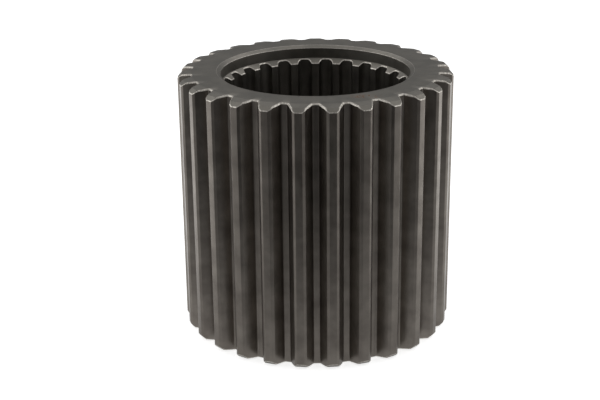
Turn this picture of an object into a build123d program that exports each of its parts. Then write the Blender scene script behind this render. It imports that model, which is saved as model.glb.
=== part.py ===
from build123d import *
import math
import os

# Splined gear sleeve: a steel ring with straight involute teeth outside and an
# involute spline in its bore. All lengths are in millimetres and +Z is the axis.
# The sleeve stands on its lower end face, centred on the origin.

# --- whole sleeve ---
sleeve_length = 81.0
pressure_angle = 30.0

# --- outer teeth ---
outer_teeth = 27
outer_module = 3.0
outer_addendum = 1.5
outer_dedendum = 2.6
outer_root_fillet = 0.5
tip_chamfer_height = 0.5
tip_chamfer_width = 0.45

# --- ends of the outer teeth ---
end_slope_drop = 0.4
end_chamfer = 1.2

# --- bore spline ---
bore_teeth = 25
bore_module = 2.25
bore_addendum = 1.125
bore_dedendum = 0.4
bore_root_fillet = 1.3

# --- counterbore at each end of the bore ---
counterbore_clearance = 0.4
counterbore_depth = 4.0
lead_in_depth = 1.4
mouth_chamfer_width = 1.225
mouth_chamfer_depth = 0.75

# --- sizes that follow from those above ---
outer_pitch_radius = outer_module * outer_teeth / 2
tip_radius = outer_pitch_radius + outer_addendum
root_radius = outer_pitch_radius - outer_dedendum
bore_pitch_radius = bore_module * bore_teeth / 2
land_radius = bore_pitch_radius - bore_addendum
groove_radius = bore_pitch_radius + bore_dedendum
counterbore_radius = groove_radius + counterbore_clearance
mouth_radius = counterbore_radius + mouth_chamfer_width
overrun = 1.0
flank_points = 5


def involute(radius, base_radius):
    """Involute function of the pressure angle that a flank has at a radius."""
    angle = math.acos(base_radius / radius)
    return math.tan(angle) - angle


def polar(radius, angle):
    """Point at a radius and an angle from the middle of a tooth space."""
    return (radius * math.cos(angle), radius * math.sin(angle))


def spread(start, stop, count):
    """Evenly spaced values from start to stop."""
    return [start + (stop - start) * step / (count - 1) for step in range(count)]


def arc_middle(start, end, centre, radius):
    """Middle of the arc from start to end about a centre."""
    chord_middle = (Vector(*start) + Vector(*end)) / 2
    return centre + (chord_middle - centre).normalized() * radius


def fold(upper_edges):
    """Closed face from edges on one side of the X axis and their mirror images."""
    lower_edges = [mirror(edge, about=Plane.XZ) for edge in upper_edges]
    return make_face(upper_edges + lower_edges)


def outer_space(height):
    """Section of one space between two outer teeth, open to the outside."""
    base_radius = outer_pitch_radius * math.cos(math.radians(pressure_angle))
    pitch_half_angle = math.pi / (2 * outer_teeth)

    def half_angle(radius, offset=0.0):
        shift = involute(radius, base_radius) - involute(outer_pitch_radius, base_radius)
        return pitch_half_angle + shift + offset / base_radius

    centre_radius = root_radius + outer_root_fillet
    centre_angle = half_angle(centre_radius, -outer_root_fillet)
    roll = math.sqrt(centre_radius ** 2 - base_radius ** 2) - outer_root_fillet
    flank_start = math.hypot(base_radius, roll)
    chamfer_start = tip_radius - tip_chamfer_height

    root_middle = polar(root_radius, 0)
    root_end = polar(root_radius, centre_angle)
    centre = Vector(*polar(centre_radius, centre_angle))
    flank = [polar(r, half_angle(r)) for r in spread(flank_start, chamfer_start, flank_points)]
    fillet_middle = arc_middle(root_end, flank[0], centre, outer_root_fillet)
    land_end = Vector(*polar(tip_radius, half_angle(tip_radius) + tip_chamfer_width / tip_radius))
    chamfer_top = Vector(*flank[-1])
    outside = land_end + (land_end - chamfer_top) * (overrun / tip_chamfer_height)

    edges = [
        ThreePointArc(root_middle, polar(root_radius, centre_angle / 2), root_end),
        ThreePointArc(root_end, fillet_middle, flank[0]),
        Spline(*flank),
        Line(chamfer_top, outside),
        Line(outside, (outside.X, 0)),
    ]
    return Pos(0, 0, height) * fold(edges)


def bore_groove(height):
    """Section of one groove of the bore spline."""
    base_radius = bore_pitch_radius * math.cos(math.radians(pressure_angle))
    pitch_half_angle = math.pi / (2 * bore_teeth)

    def half_angle(radius, offset=0.0):
        shift = involute(radius, base_radius) - involute(bore_pitch_radius, base_radius)
        return pitch_half_angle - shift + offset / base_radius

    centre_radius = groove_radius - bore_root_fillet
    centre_angle = half_angle(centre_radius, -bore_root_fillet)
    roll = math.sqrt(centre_radius ** 2 - base_radius ** 2) + bore_root_fillet
    flank_end = math.hypot(base_radius, roll)
    flank_start = land_radius - overrun

    groove_middle = polar(groove_radius, 0)
    groove_end = polar(groove_radius, centre_angle)
    centre = Vector(*polar(centre_radius, centre_angle))
    flank = [polar(r, half_angle(r)) for r in spread(flank_end, flank_start, flank_points)]
    fillet_middle = arc_middle(groove_end, flank[0], centre, bore_root_fillet)
    edges = [
        ThreePointArc(groove_middle, polar(groove_radius, centre_angle / 2), groove_end),
        ThreePointArc(groove_end, fillet_middle, flank[0]),
        Spline(*flank),
        Line(flank[-1], (flank[-1][0], 0)),
    ]
    return Pos(0, 0, height) * fold(edges)


def blank():
    """Turned blank: the sleeve before its teeth and bore spline are cut."""
    slope_radius = tip_radius - end_chamfer
    tip_start = end_slope_drop + end_chamfer
    spline_start = counterbore_depth + lead_in_depth
    lower_half = [
        (land_radius, spline_start),
        (counterbore_radius, counterbore_depth),
        (counterbore_radius, mouth_chamfer_depth),
        (mouth_radius, 0),
        (root_radius, 0),
        (slope_radius, end_slope_drop),
        (tip_radius, tip_start),
    ]
    upper_half = [(radius, sleeve_length - height) for radius, height in reversed(lower_half)]
    section = make_face(Polyline(*lower_half, *upper_half, close=True))
    return revolve(Plane.XZ * section, Axis.Z)


def outer_cutter():
    """Cutter for one outer tooth space, through both ends."""
    return extrude(outer_space(-overrun), sleeve_length + 2 * overrun)


def bore_cutter():
    """Cutter for one groove of the bore spline, kept between the counterbores."""
    return extrude(bore_groove(mouth_chamfer_depth), sleeve_length - 2 * mouth_chamfer_depth)


def gear_sleeve():
    """Whole sleeve, with a tooth and a bore tooth centred on +Y."""
    outer_start = 90 + 180 / outer_teeth
    bore_start = 90 + 180 / bore_teeth
    outer_cutters = [
        Rot(0, 0, outer_start + 360 * index / outer_teeth) * outer_cutter()
        for index in range(outer_teeth)
    ]
    bore_cutters = [
        Rot(0, 0, bore_start + 360 * index / bore_teeth) * bore_cutter()
        for index in range(bore_teeth)
    ]
    return blank() - outer_cutters - bore_cutters


os.makedirs("parts", exist_ok=True)
sleeve = gear_sleeve()
sleeve.label = "gear_sleeve"
export_step(sleeve, "parts/gear_sleeve.step")
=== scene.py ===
import bpy
import bmesh
import math
from mathutils import Matrix, Vector


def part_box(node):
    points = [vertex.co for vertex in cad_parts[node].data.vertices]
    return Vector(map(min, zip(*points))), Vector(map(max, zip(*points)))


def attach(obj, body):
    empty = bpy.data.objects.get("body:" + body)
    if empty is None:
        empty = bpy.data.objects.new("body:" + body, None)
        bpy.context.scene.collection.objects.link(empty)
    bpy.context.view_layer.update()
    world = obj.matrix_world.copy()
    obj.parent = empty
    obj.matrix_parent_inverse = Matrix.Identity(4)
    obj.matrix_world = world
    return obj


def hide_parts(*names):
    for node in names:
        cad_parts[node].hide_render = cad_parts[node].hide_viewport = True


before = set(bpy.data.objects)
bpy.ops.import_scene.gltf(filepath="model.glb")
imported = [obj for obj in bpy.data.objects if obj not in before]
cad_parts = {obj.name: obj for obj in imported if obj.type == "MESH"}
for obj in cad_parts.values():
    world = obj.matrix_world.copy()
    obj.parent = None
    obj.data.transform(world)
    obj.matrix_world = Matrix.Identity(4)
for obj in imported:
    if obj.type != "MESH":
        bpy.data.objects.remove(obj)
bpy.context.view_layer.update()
sleeveLow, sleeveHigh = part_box("gear_sleeve")
mm = 0.001  # the sizes below are in millimetres
print("frame loaded")


# small helpers

def toLinear(hexColour):
    levels = [int(hexColour[i:i + 2], 16) / 255 for i in (1, 3, 5)]
    linear = [v / 12.92 if v <= 0.04045 else ((v + 0.055) / 1.055) ** 2.4 for v in levels]
    return (*linear, 1.0)


def clamp(value):
    return max(0.0, min(1.0, value))


def spread(start, stop, count):
    # both ends are among the values
    return [start + (stop - start) * i / (count - 1) for i in range(count)]


def addNode(tree, kind, settings=None, **links):
    # a value is set on the socket of that name or number, a socket is linked to it
    node = tree.nodes.new(kind)
    for name, value in (settings or {}).items():
        setattr(node, name, value)
    for name, value in links.items():
        key = int(name[1:]) if name[0] == "i" and name[1:].isdigit() else name.replace("_", " ")
        socket = node.inputs[key]
        if isinstance(value, bpy.types.NodeSocket):
            tree.links.new(value, socket)
        else:
            socket.default_value = value
    return node


def mathNode(tree, operation, *values):
    links = {f"i{number}": value for number, value in enumerate(values)}
    return addNode(tree, "ShaderNodeMath", {"operation": operation}, **links).outputs[0]


def remap(tree, value, low, high, start, stop):
    node = addNode(tree, "ShaderNodeMapRange", Value=value,
                   From_Min=low, From_Max=high, To_Min=start, To_Max=stop)
    return node.outputs[0]


# the sleeve's shape: one tooth of the outer ring and one of the bore, each a grid of
# rows down the sleeve and columns round the tooth

sleeve = {
    "length": (sleeveHigh.z - sleeveLow.z) / mm,
    "pressureAngle": math.radians(30),
    "outerTeeth": 27,
    "outerModule": 3.0,
    "outerAddendum": 1.5,
    "outerDedendum": 2.6,
    "outerFillet": 0.5,
    "tipChamferHeight": 0.5,
    "tipChamferWidth": 0.45,
    "endSlopeDrop": 0.4,  # the tooth ends fall away a little from the root circle out
    "endChamfer": 1.2,
    "boreTeeth": 25,
    "boreModule": 2.25,
    "boreAddendum": 1.125,
    "boreDedendum": 0.4,
    "boreFillet": 1.3,
    "counterboreClearance": 0.4,
    "counterboreDepth": 4.0,
    "leadInDepth": 1.4,
    "mouthChamferWidth": 1.225,
    "mouthChamferDepth": 0.75,
    "seamRadius": 34.0,  # circle on the end face where the two rings of teeth meet
    "edgeBreak": 0.4,  # filed edge round the ends of the outer teeth
    "tipEdgeBreak": 0.15,
    "boreEdgeBreak": 0.18,
    "edgeBreakFade": 0.9,  # height over which the filed edge narrows towards the tip
    "cornerRound": 0.07,
    "mouthEdge": 0.06,
    "weld": 0.002,
}


def involute(radius, baseRadius):
    angle = math.acos(baseRadius / radius)
    return math.tan(angle) - angle


def roundCorner(before, corner, after, size, steps):
    # points of a small arc in place of the corner
    start = corner + (before - corner).normalized() * size
    end = corner + (after - corner).normalized() * size
    points = []
    for t in spread(0, 1, steps + 1):
        points.append(start * (1 - t) ** 2 + corner * (2 * t * (1 - t)) + end * t ** 2)
    return points


def polar(radius, angle):
    return Vector((radius * math.cos(angle), radius * math.sin(angle)))


def arcPoints(centre, start, end, steps):
    first, last = start - centre, end - centre
    angle = math.atan2(first.y, first.x)
    turn = math.atan2(last.y, last.x) - angle
    turn = (turn + math.pi) % (2 * math.pi) - math.pi  # the short way round
    return [centre + polar(first.length, angle + turn * t) for t in spread(0, 1, steps + 1)]


def outerHalfOutline():
    # from the middle of a tooth space to the middle of the tooth, which lies on +X
    s = sleeve
    pitchRadius = s["outerModule"] * s["outerTeeth"] / 2
    baseRadius = pitchRadius * math.cos(s["pressureAngle"])
    tipRadius = pitchRadius + s["outerAddendum"]
    rootRadius = pitchRadius - s["outerDedendum"]
    halfPitch = math.pi / s["outerTeeth"]

    def toothAngle(radius, offset=0.0):
        shift = involute(pitchRadius, baseRadius) - involute(radius, baseRadius)
        return halfPitch / 2 + shift + offset / baseRadius

    fillet = s["outerFillet"]
    centreRadius = rootRadius + fillet
    centreAngle = toothAngle(centreRadius, fillet)
    roll = math.sqrt(centreRadius ** 2 - baseRadius ** 2) - fillet
    flankStart = math.hypot(baseRadius, roll)
    chamferStart = tipRadius - s["tipChamferHeight"]
    landAngle = toothAngle(tipRadius) - s["tipChamferWidth"] / tipRadius

    floor = [polar(rootRadius, a) for a in spread(halfPitch, centreAngle, 4)]
    flank = [polar(r, toothAngle(r)) for r in spread(flankStart, chamferStart, 9)]
    curve = arcPoints(polar(centreRadius, centreAngle), floor[-1], flank[0], 5)
    landCorner = polar(tipRadius, landAngle)
    shoulder = roundCorner(flank[-2], flank[-1], landCorner, s["cornerRound"], 3)
    landEdge = roundCorner(flank[-1], landCorner, polar(tipRadius, 0), s["cornerRound"], 3)
    land = [polar(tipRadius, a) for a in spread(landAngle, 0, 4)][1:]
    points = floor + curve[1:] + flank[1:-2] + shoulder + landEdge + land
    sharp = {len(floor + curve[1:] + flank[1:-2]), len(points) - len(land) - 1}
    sharp |= {min(sharp) + 3, max(sharp) - 3}
    return points, sharp


def boreHalfOutline():
    # from the middle of a groove to the middle of the bore tooth, which lies on +X
    s = sleeve
    pitchRadius = s["boreModule"] * s["boreTeeth"] / 2
    baseRadius = pitchRadius * math.cos(s["pressureAngle"])
    landRadius = pitchRadius - s["boreAddendum"]
    grooveRadius = pitchRadius + s["boreDedendum"]
    halfPitch = math.pi / s["boreTeeth"]

    def toothAngle(radius, offset=0.0):
        shift = involute(radius, baseRadius) - involute(pitchRadius, baseRadius)
        return halfPitch / 2 + shift + offset / baseRadius

    fillet = s["boreFillet"]
    centreRadius = grooveRadius - fillet
    centreAngle = toothAngle(centreRadius, fillet)
    roll = math.sqrt(centreRadius ** 2 - baseRadius ** 2) + fillet
    flankEnd = math.hypot(baseRadius, roll)
    landAngle = toothAngle(landRadius)

    floor = [polar(grooveRadius, a) for a in spread(halfPitch, centreAngle, 4)]
    flank = [polar(r, toothAngle(r)) for r in spread(flankEnd, landRadius, 10)]
    curve = arcPoints(polar(centreRadius, centreAngle), floor[-1], flank[0], 7)
    landEdge = roundCorner(flank[-2], flank[-1], polar(landRadius, 0), s["cornerRound"], 4)
    land = [polar(landRadius, a) for a in spread(landAngle, 0, 5)][1:]
    points = floor + curve[1:] + flank[1:-1] + landEdge + land
    landStart = len(points) - len(land)
    return points, {landStart - 1, landStart - len(landEdge)}


def fullOutline(half, sharp):
    # mirrored about the tooth's middle, with each point's normal, which leads away from the axis
    points = half + [Vector((p.x, -p.y)) for p in reversed(half[:-1])]
    sharp = sharp | {len(points) - 1 - i for i in sharp}
    normals = []
    for i in range(len(points)):
        along = points[min(i + 1, len(points) - 1)] - points[max(i - 1, 0)]
        normals.append(Vector((-along.y, along.x)).normalized())
    for i in (0, -1):
        normals[i] = points[i].normalized()
    return points, normals, sharp


def edgeArc(count):
    # shares (inward, downward) of a filed edge, half round and half bevel
    shares = []
    for t in spread(0, 1, count + 1):
        inward = 1 - 0.5 * (t + math.sin(t * math.pi / 2))
        down = 0.5 * (t + 1 - math.cos(t * math.pi / 2))
        shares.append((inward, down))
    return shares


def sectorObject(name, rows, sharpRows, sharpColumns, finishes, wallFinish):
    # rows run from the upper seam circle to the foot of the upper edge, and are mirrored below
    length = sleeve["length"]
    rows = rows + [[Vector((p.x, p.y, length - p.z)) for p in row] for row in reversed(rows)]
    finishes = finishes + [wallFinish] + list(reversed(finishes))
    sharpRows = sharpRows | {len(rows) - 1 - r for r in sharpRows}
    width = len(rows[0])
    bm = bmesh.new()
    finish = bm.faces.layers.int.new("finish")
    grid = [[bm.verts.new(p * mm) for p in row] for row in rows]
    for r in range(len(rows) - 1):
        for c in range(width - 1):
            upper, lower = grid[r], grid[r + 1]
            face = bm.faces.new((upper[c], upper[c + 1], lower[c + 1], lower[c]))
            face.smooth = True
            face[finish] = finishes[r]
    bm.verts.index_update()
    for edge in bm.edges:
        a, b = sorted(v.index for v in edge.verts)
        if a // width == b // width:
            edge.smooth = a // width not in sharpRows
        else:
            edge.smooth = a % width not in sharpColumns
    bmesh.ops.remove_doubles(bm, verts=bm.verts, dist=sleeve["weld"] * mm)
    mesh = bpy.data.meshes.new(name)
    bm.to_mesh(mesh)
    bm.free()
    sector = bpy.data.objects.new(name, mesh)
    bpy.context.scene.collection.objects.link(sector)
    return sector


# finishes of the faces, in the order of the materials
turned, hobbed, filedPaintedHighlight, broached = range(4)


def outerSector():
    s = sleeve
    points, normals, sharpColumns = fullOutline(*outerHalfOutline())
    tipRadius = max(p.length for p in points)
    rootRadius = min(p.length for p in points)
    slopeRadius = tipRadius - s["endChamfer"]
    halfPitch = math.pi / s["outerTeeth"]

    def endHeight(radius):
        slope = clamp((radius - rootRadius) / (slopeRadius - rootRadius)) * s["endSlopeDrop"]
        return s["length"] - slope - max(0.0, radius - slopeRadius)

    def breakSize(radius):
        share = clamp((tipRadius - s["tipChamferHeight"] - radius) / s["edgeBreakFade"])
        return s["tipEdgeBreak"] + (s["edgeBreak"] - s["tipEdgeBreak"]) * share

    breaks = [breakSize(p.length) for p in points]
    inner = [p - n * b for p, n, b in zip(points, normals, breaks)]

    def ring(target):
        # points of the end face between the seam circle and the broken edge
        row = []
        for i, edge in enumerate(inner):
            radius = min(target, edge.length)
            share = (radius - s["seamRadius"]) / (edge.length - s["seamRadius"])
            start = halfPitch * (1 - 2 * i / (len(inner) - 1))
            angle = start + (math.atan2(edge.y, edge.x) - start) * share
            row.append(Vector((*polar(radius, angle), endHeight(radius))))
        return row

    middleRadius = (rootRadius + slopeRadius) / 2
    rows = [ring(r) for r in (s["seamRadius"], rootRadius, middleRadius, slopeRadius)]
    for inward, down in edgeArc(4):
        row = []
        for p, n, b, e in zip(points, normals, breaks, inner):
            top = endHeight(e.length) * inward + endHeight(p.length) * (1 - inward)
            row.append(Vector((*(p - n * b * inward), top - b * down)))
        rows.append(row)
    finishes = [turned] * 4 + [filedPaintedHighlight] * 4
    sharpRows = {1, 3, 4, 8}
    return sectorObject("outerToothSector", rows, sharpRows, sharpColumns, finishes, hobbed)


def boreSector():
    s = sleeve
    points, normals, sharpColumns = fullOutline(*boreHalfOutline())
    landRadius = min(p.length for p in points)
    wallRadius = max(p.length for p in points) + s["counterboreClearance"]
    mouthRadius = wallRadius + s["mouthChamferWidth"]
    halfPitch = math.pi / s["boreTeeth"]
    top = s["length"]
    mouthFoot = top - s["mouthChamferDepth"]
    soft = s["mouthEdge"]
    tilt = s["mouthChamferDepth"] / s["mouthChamferWidth"]
    outer = [p + n * s["boreEdgeBreak"] for p, n in zip(points, normals)]

    def leadInHeight(radius):
        slope = s["leadInDepth"] / (wallRadius - landRadius)
        return top - s["counterboreDepth"] - (wallRadius - radius) * slope

    def circle(radius, height):
        return [Vector((*polar(radius, math.atan2(e.y, e.x)), height)) for e in outer]

    count = len(points) - 1
    seam = [polar(s["seamRadius"], halfPitch * (1 - 2 * i / count)) for i in range(count + 1)]
    rows = [
        [Vector((*p, top)) for p in seam],
        circle(mouthRadius + soft, top),
        circle(mouthRadius - soft, top - soft * tilt),
        circle(wallRadius + soft, mouthFoot + soft * tilt),
        circle(wallRadius, mouthFoot - soft),
        circle(wallRadius, top - s["counterboreDepth"]),
    ]
    for inward, down in edgeArc(3):
        row = []
        for p, n, e in zip(points, normals, outer):
            height = leadInHeight(e.length) * inward + leadInHeight(p.length) * (1 - inward)
            edge = p + n * s["boreEdgeBreak"] * inward
            row.append(Vector((*edge, height - s["boreEdgeBreak"] * down)))
        rows.append(row)
    finishes = [turned, filedPaintedHighlight, turned, filedPaintedHighlight, turned, turned] + [filedPaintedHighlight] * 3
    sharpRows = {1, 2, 3, 4, 5, 6, 9}
    return sectorObject("boreToothSector", rows, sharpRows, sharpColumns, finishes, broached)


def steel(name, look):
    # bare alloy steel: cloudy tone, a fine grain, and where it was hobbed a feed wave
    material = bpy.data.materials.new(name)
    material.use_nodes = True
    tree = material.node_tree
    tree.nodes.clear()
    where = addNode(tree, "ShaderNodeTexCoord").outputs["Object"]

    def vector(operation, a, b):
        return addNode(tree, "ShaderNodeVectorMath", {"operation": operation}, i0=a, i1=b).outputs[0]

    def noise(size, stretch=(1, 1, 1), detail=2.0):
        # patches about size millimetres across
        scaled = vector("MULTIPLY", where, [k / (size * mm) for k in stretch])
        cloud = addNode(tree, "ShaderNodeTexNoise", Vector=scaled, Scale=1.0, Detail=detail)
        return cloud.outputs[0]

    def mix(factor, a, b):
        return addNode(tree, "ShaderNodeMix", {"data_type": "RGBA"}, i0=factor, i6=a, i7=b).outputs[2]

    def bump(depth, height, **below):
        return addNode(tree, "ShaderNodeBump", Strength=1.0, Distance=depth * mm, Height=height, **below)

    marks = steelMarks
    tone = remap(tree, noise(look["cloud"], detail=4.0), 0.35, 0.65, 0.0, 1.0)
    colour = mix(tone, toLinear(look["dark"]), toLinear(look["light"]))
    metal = 1.0
    smears = noise(marks["smear"], look["stretch"], 3.0)
    rough = remap(tree, smears, 0.3, 0.7, look["rough"] - 0.05, look["rough"] + 0.07)
    relief = bump(look["grainDepth"], noise(look["grain"], look["stretch"]))
    if look["feedDepth"]:
        height = addNode(tree, "ShaderNodeSeparateXYZ", i0=where).outputs["Z"]
        wander = mathNode(tree, "MULTIPLY", noise(marks["wanderSize"]), marks["wander"])
        phase = mathNode(tree, "MULTIPLY", height, 2 * math.pi / (marks["feed"] * mm))
        wave = mathNode(tree, "SINE", mathNode(tree, "ADD", phase, wander))
        wave = remap(tree, wave, -1.0, 1.0, 0.0, 1.0)
        relief = bump(look["feedDepth"], wave, Normal=relief.outputs[0])
    if look["rust"]:
        # a short run of rust beside the bore's mouth, broken into specks
        offset = vector("SUBTRACT", where, [c * mm for c in rust["centre"]])
        scaled = vector("DIVIDE", offset, [c * mm for c in rust["reach"]])
        distance = addNode(tree, "ShaderNodeVectorMath", {"operation": "LENGTH"}, i0=scaled)
        near = remap(tree, distance.outputs["Value"], 0.5, 1.0, 1.0, 0.0)
        specks = remap(tree, noise(rust["speck"], detail=3.0), 0.52, 0.62, 0.0, 1.0)
        stain = mathNode(tree, "MULTIPLY", near, specks)
        colour = mix(stain, colour, toLinear(rust["colour"]))
        metal = remap(tree, stain, 0.0, 1.0, 1.0, 0.1)
        rough = mathNode(tree, "MAXIMUM", rough, mathNode(tree, "MULTIPLY", stain, rust["rough"]))
    surface = addNode(tree, "ShaderNodeBsdfPrincipled", Base_Color=colour, Metallic=metal,
                      Roughness=rough, Normal=relief.outputs[0])
    addNode(tree, "ShaderNodeOutputMaterial", Surface=surface.outputs[0])
    return material


# tones are sRGB, and sizes and depths are in millimetres
steelMarks = {
    "feed": 3.0,  # travel of the hob in one turn of the sleeve
    "wander": 1.2,
    "wanderSize": 9.0,
    "smear": 1.2,
}
rust = {
    "centre": (14.0, -30.6, 81.0),
    "reach": (5.5, 2.6, 3.0),
    "speck": 0.7,
    "colour": "#6a4628",
    "rough": 0.8,
}
turnedLook = {
    "dark": "#7c7973", "light": "#88847d", "cloud": 7.0, "rough": 0.40,
    "grain": 0.5, "grainDepth": 0.010, "stretch": (1, 1, 1), "feedDepth": 0.0, "rust": True,
}
hobbedLook = {
    "dark": "#77716b", "light": "#8a847d", "cloud": 6.0, "rough": 0.36,
    "grain": 0.35, "grainDepth": 0.008, "stretch": (1, 1, 0.25), "feedDepth": 0.012, "rust": False,
}
# filed edges: worn bare steel, with its tones raised to paint the highlight lines along the tooth edges
filedPaintedHighlightLook = {
    "dark": "#a09b94", "light": "#ddd8cf", "cloud": 0.5, "rough": 0.34,
    "grain": 0.3, "grainDepth": 0.012, "stretch": (1, 1, 1), "feedDepth": 0.0, "rust": False,
}
broachedLook = {
    "dark": "#6f6c67", "light": "#807c76", "cloud": 5.0, "rough": 0.38,
    "grain": 0.3, "grainDepth": 0.006, "stretch": (1, 1, 0.1), "feedDepth": 0.0, "rust": False,
}

# hardened alloy steel, faced and bored on a lathe
turnedSteel = steel("turnedAlloySteel", turnedLook)
# the same steel, cut tooth by tooth with a hob
hobbedSteel = steel("hobbedAlloySteel", hobbedLook)
# the same steel, bright where its edges were filed and have worn, and brighter still as a painted
# highlight along the tooth edges
filedSteelPaintedHighlight = steel("filedAlloySteelEdgePaintedHighlight", filedPaintedHighlightLook)
# the same steel, cut along the bore with a broach
broachedSteel = steel("broachedAlloySteel", broachedLook)
print("materials made")


def ringTree(materials):
    # one sector of each ring, repeated round the axis, welded together and given its materials
    tree = bpy.data.node_groups.new("toothRings", "GeometryNodeTree")
    tree.interface.new_socket("Geometry", in_out="OUTPUT", socket_type="NodeSocketGeometry")
    wanted = {"Outer sector": "NodeSocketObject", "Bore sector": "NodeSocketObject",
              "Outer teeth": "NodeSocketInt", "Bore teeth": "NodeSocketInt",
              "Weld distance": "NodeSocketFloat"}
    sockets = {}
    for label, kind in wanted.items():
        sockets[label] = tree.interface.new_socket(label, in_out="INPUT", socket_type=kind).identifier
    given = addNode(tree, "NodeGroupInput").outputs
    join = addNode(tree, "GeometryNodeJoinGeometry")
    for sector, count in (("Outer sector", "Outer teeth"), ("Bore sector", "Bore teeth")):
        source = addNode(tree, "GeometryNodeObjectInfo", Object=given[sector])
        places = addNode(tree, "GeometryNodeMeshLine", Count=given[count], Offset=(0, 0, 0))
        index = addNode(tree, "GeometryNodeInputIndex")
        turns = mathNode(tree, "DIVIDE", index.outputs[0], given[count])
        angle = mathNode(tree, "MULTIPLY_ADD", turns, 2 * math.pi, math.pi / 2)
        euler = addNode(tree, "ShaderNodeCombineXYZ", Z=angle)
        copies = addNode(tree, "GeometryNodeInstanceOnPoints", Points=places.outputs[0],
                         Instance=source.outputs["Geometry"], Rotation=euler.outputs[0])
        tree.links.new(copies.outputs[0], join.inputs[0])
    whole = addNode(tree, "GeometryNodeRealizeInstances", i0=join.outputs[0])
    whole = addNode(tree, "GeometryNodeMergeByDistance", Geometry=whole.outputs[0],
                    Distance=given["Weld distance"])
    for number, material in enumerate(materials):
        finish = addNode(tree, "GeometryNodeInputNamedAttribute", {"data_type": "INT"},
                         Name="finish")
        same = addNode(tree, "FunctionNodeCompare", {"data_type": "INT", "operation": "EQUAL"},
                       i2=finish.outputs[0], i3=number)
        whole = addNode(tree, "GeometryNodeSetMaterial", Geometry=whole.outputs[0],
                        Selection=same.outputs[0], Material=material)
    addNode(tree, "NodeGroupOutput", i0=whole.outputs[0])
    return tree, sockets


def makeSleeve():
    tree, sockets = ringTree([turnedSteel, hobbedSteel, filedSteelPaintedHighlight, broachedSteel])
    sectors = [outerSector(), boreSector()]
    piece = bpy.data.objects.new("gearSleeve", bpy.data.meshes.new("gearSleeve"))
    bpy.context.scene.collection.objects.link(piece)
    rings = piece.modifiers.new("toothRings", "NODES")
    rings.node_group = tree
    values = (*sectors, sleeve["outerTeeth"], sleeve["boreTeeth"], sleeve["weld"] * mm)
    for identifier, value in zip(sockets.values(), values):
        rings[identifier] = value
    graph = bpy.context.evaluated_depsgraph_get()
    mesh = bpy.data.meshes.new_from_object(piece.evaluated_get(graph))
    piece.modifiers.remove(rings)
    piece.data = mesh
    for sector in sectors:
        bpy.data.objects.remove(sector)
    bm = bmesh.new()
    bm.from_mesh(mesh)
    bmesh.ops.recalc_face_normals(bm, faces=bm.faces)
    openEdges = sum(not edge.is_manifold for edge in bm.edges)
    volume = bm.calc_volume() / mm ** 3
    print("sleeve faces", len(bm.faces), "open edges", openEdges, "volume mm3", volume)
    bm.to_mesh(mesh)
    bm.free()
    return piece


gearSleeve = makeSleeve()
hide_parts("gear_sleeve")
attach(gearSleeve, "root")
print("sleeve made")

# surroundings: a white table, a pale room behind and above, a dark one in front
studio = {
    "tableReach": 4.0,
    "tableDrop": 0.0002,
    "tableGlow": 0.72,
    # strengths of the table's painted reflection glow, seen only in the steel
    "floorFront": 0.83,
    "floorBack": 0.38,
    "floorSide": 0.15,
    "floorDark": 0.03,
    "roomBack": 0.17,
    "roomAbove": 0.54,
    "roomSide": 1.16,
    "roomDark": 0.02,
    "boxDistance": 0.7,
    "boxSize": 0.30,
    "boxRadiance": 0.55,
}


def makeTable():
    reach, height = studio["tableReach"], -studio["tableDrop"]
    mesh = bpy.data.meshes.new("table")
    corners = [(-reach, -reach, height), (reach, -reach, height),
               (reach, reach, height), (-reach, reach, height)]
    mesh.from_pydata(corners, [], [(0, 1, 2, 3)])
    table = bpy.data.objects.new("table", mesh)
    bpy.context.scene.collection.objects.link(table)
    # white paper: from the camera it is lit and glows evenly white; in the steel it shows only a painted
    # reflection, a glow bright behind and at the sides that fades to dark towards the front
    material = bpy.data.materials.new("whitePaperSweep")
    material.use_nodes = True
    tree = material.node_tree
    tree.nodes.clear()
    where = addNode(tree, "ShaderNodeTexCoord").outputs["Object"]
    axes = addNode(tree, "ShaderNodeSeparateXYZ", i0=where).outputs
    aside = mathNode(tree, "ABSOLUTE", axes["X"])
    front = mathNode(tree, "POWER", remap(tree, axes["Y"], -0.22, 0.02, 0.0, 1.0), 1.6)
    level = mathNode(tree, "MULTIPLY_ADD", front, studio["floorFront"], studio["floorDark"])
    back = remap(tree, axes["Y"], -0.02, 0.08, 0.0, studio["floorBack"])
    sides = remap(tree, aside, 0.05, 0.15, 0.0, studio["floorSide"])
    level = mathNode(tree, "ADD", mathNode(tree, "ADD", level, back), sides)
    paintedReflection = addNode(tree, "ShaderNodeEmission", Strength=level)
    paper = addNode(tree, "ShaderNodeBsdfDiffuse", Color=(0.9, 0.9, 0.9, 1))
    glow = addNode(tree, "ShaderNodeEmission", Strength=studio["tableGlow"])
    seen = addNode(tree, "ShaderNodeAddShader", i0=paper.outputs[0], i1=glow.outputs[0])
    path = addNode(tree, "ShaderNodeLightPath")
    both = addNode(tree, "ShaderNodeMixShader", i0=path.outputs["Is Camera Ray"],
                   i1=paintedReflection.outputs[0], i2=seen.outputs[0])
    addNode(tree, "ShaderNodeOutputMaterial", Surface=both.outputs[0])
    mesh.materials.append(material)


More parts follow.
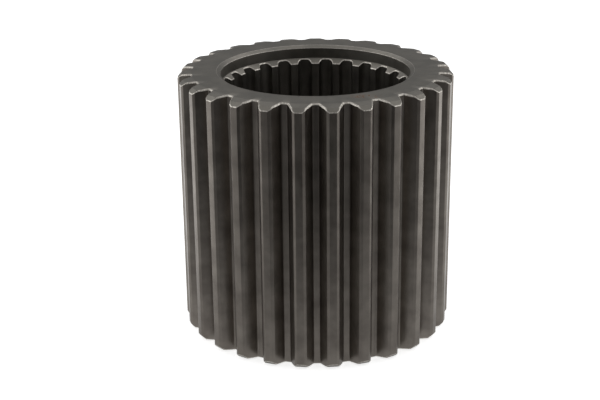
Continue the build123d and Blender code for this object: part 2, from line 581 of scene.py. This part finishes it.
def makeRoom():
    world = bpy.data.worlds.new("room")
    bpy.context.scene.world = world
    world.use_nodes = True
    tree = world.node_tree
    tree.nodes.clear()
    direction = addNode(tree, "ShaderNodeNewGeometry").outputs["Position"]
    axes = addNode(tree, "ShaderNodeSeparateXYZ", i0=direction).outputs
    aside = mathNode(tree, "ABSOLUTE", axes["X"])
    back = remap(tree, axes["Y"], 0.0, 0.5, 0.0, studio["roomBack"])
    level = mathNode(tree, "ADD", back, studio["roomDark"])
    above = remap(tree, axes["Z"], 0.35, 0.85, 0.0, studio["roomAbove"])
    sides = remap(tree, aside, 0.5, 0.95, 0.0, studio["roomSide"])
    level = mathNode(tree, "ADD", mathNode(tree, "ADD", level, above), sides)
    room = addNode(tree, "ShaderNodeBackground", Color=(1, 1, 1, 1), Strength=level)
    white = addNode(tree, "ShaderNodeBackground", Color=(1, 1, 1, 1), Strength=1.05)
    path = addNode(tree, "ShaderNodeLightPath")
    both = addNode(tree, "ShaderNodeMixShader", i0=path.outputs["Is Camera Ray"],
                   i1=room.outputs[0], i2=white.outputs[0])
    addNode(tree, "ShaderNodeOutputWorld", Surface=both.outputs[0])


def softBox(name, direction):
    light = bpy.data.lights.new(name, "AREA")
    light.shape = "SQUARE"
    light.size = studio["boxSize"]
    light.energy = studio["boxRadiance"] * math.pi * studio["boxSize"] ** 2
    box = bpy.data.objects.new(name, light)
    box.location = Vector(direction).normalized() * studio["boxDistance"]
    box.rotation_euler = Vector(direction).to_track_quat("Z", "Y").to_euler()
    bpy.context.scene.collection.objects.link(box)


makeTable()
makeRoom()
softBox("softBoxLeft", (-0.36, 0.60, 0.70))
softBox("softBoxRight", (0.36, 0.60, 0.70))
bpy.context.scene.view_settings.view_transform = "Standard"
print("surroundings made")

# camera: place in millimetres, angles in degrees
view = {"place": (0.0, -391.3, 184.9), "yaw": -0.748, "pitch": 20.54, "roll": -0.617, "lens": 79.3}


def makeCamera():
    yaw, pitch, roll = (math.radians(view[key]) for key in ("yaw", "pitch", "roll"))
    forward = Vector((math.sin(yaw), math.cos(yaw), 0)) * math.cos(pitch)
    forward.z = -math.sin(pitch)
    level = Vector((math.cos(yaw), -math.sin(yaw), 0))
    upright = level.cross(forward)
    right = level * math.cos(roll) + upright * math.sin(roll)
    up = upright * math.cos(roll) - level * math.sin(roll)
    camera = bpy.data.objects.new("camera", bpy.data.cameras.new("camera"))
    camera.data.lens = view["lens"]
    camera.data.sensor_width = 36.0
    camera.data.clip_start = 0.01
    facing = Matrix((right, up, -forward)).transposed().to_4x4()
    camera.matrix_world = Matrix.Translation(Vector(view["place"]) * mm) @ facing
    bpy.context.scene.collection.objects.link(camera)
    bpy.context.scene.camera = camera


makeCamera()
print("camera made")
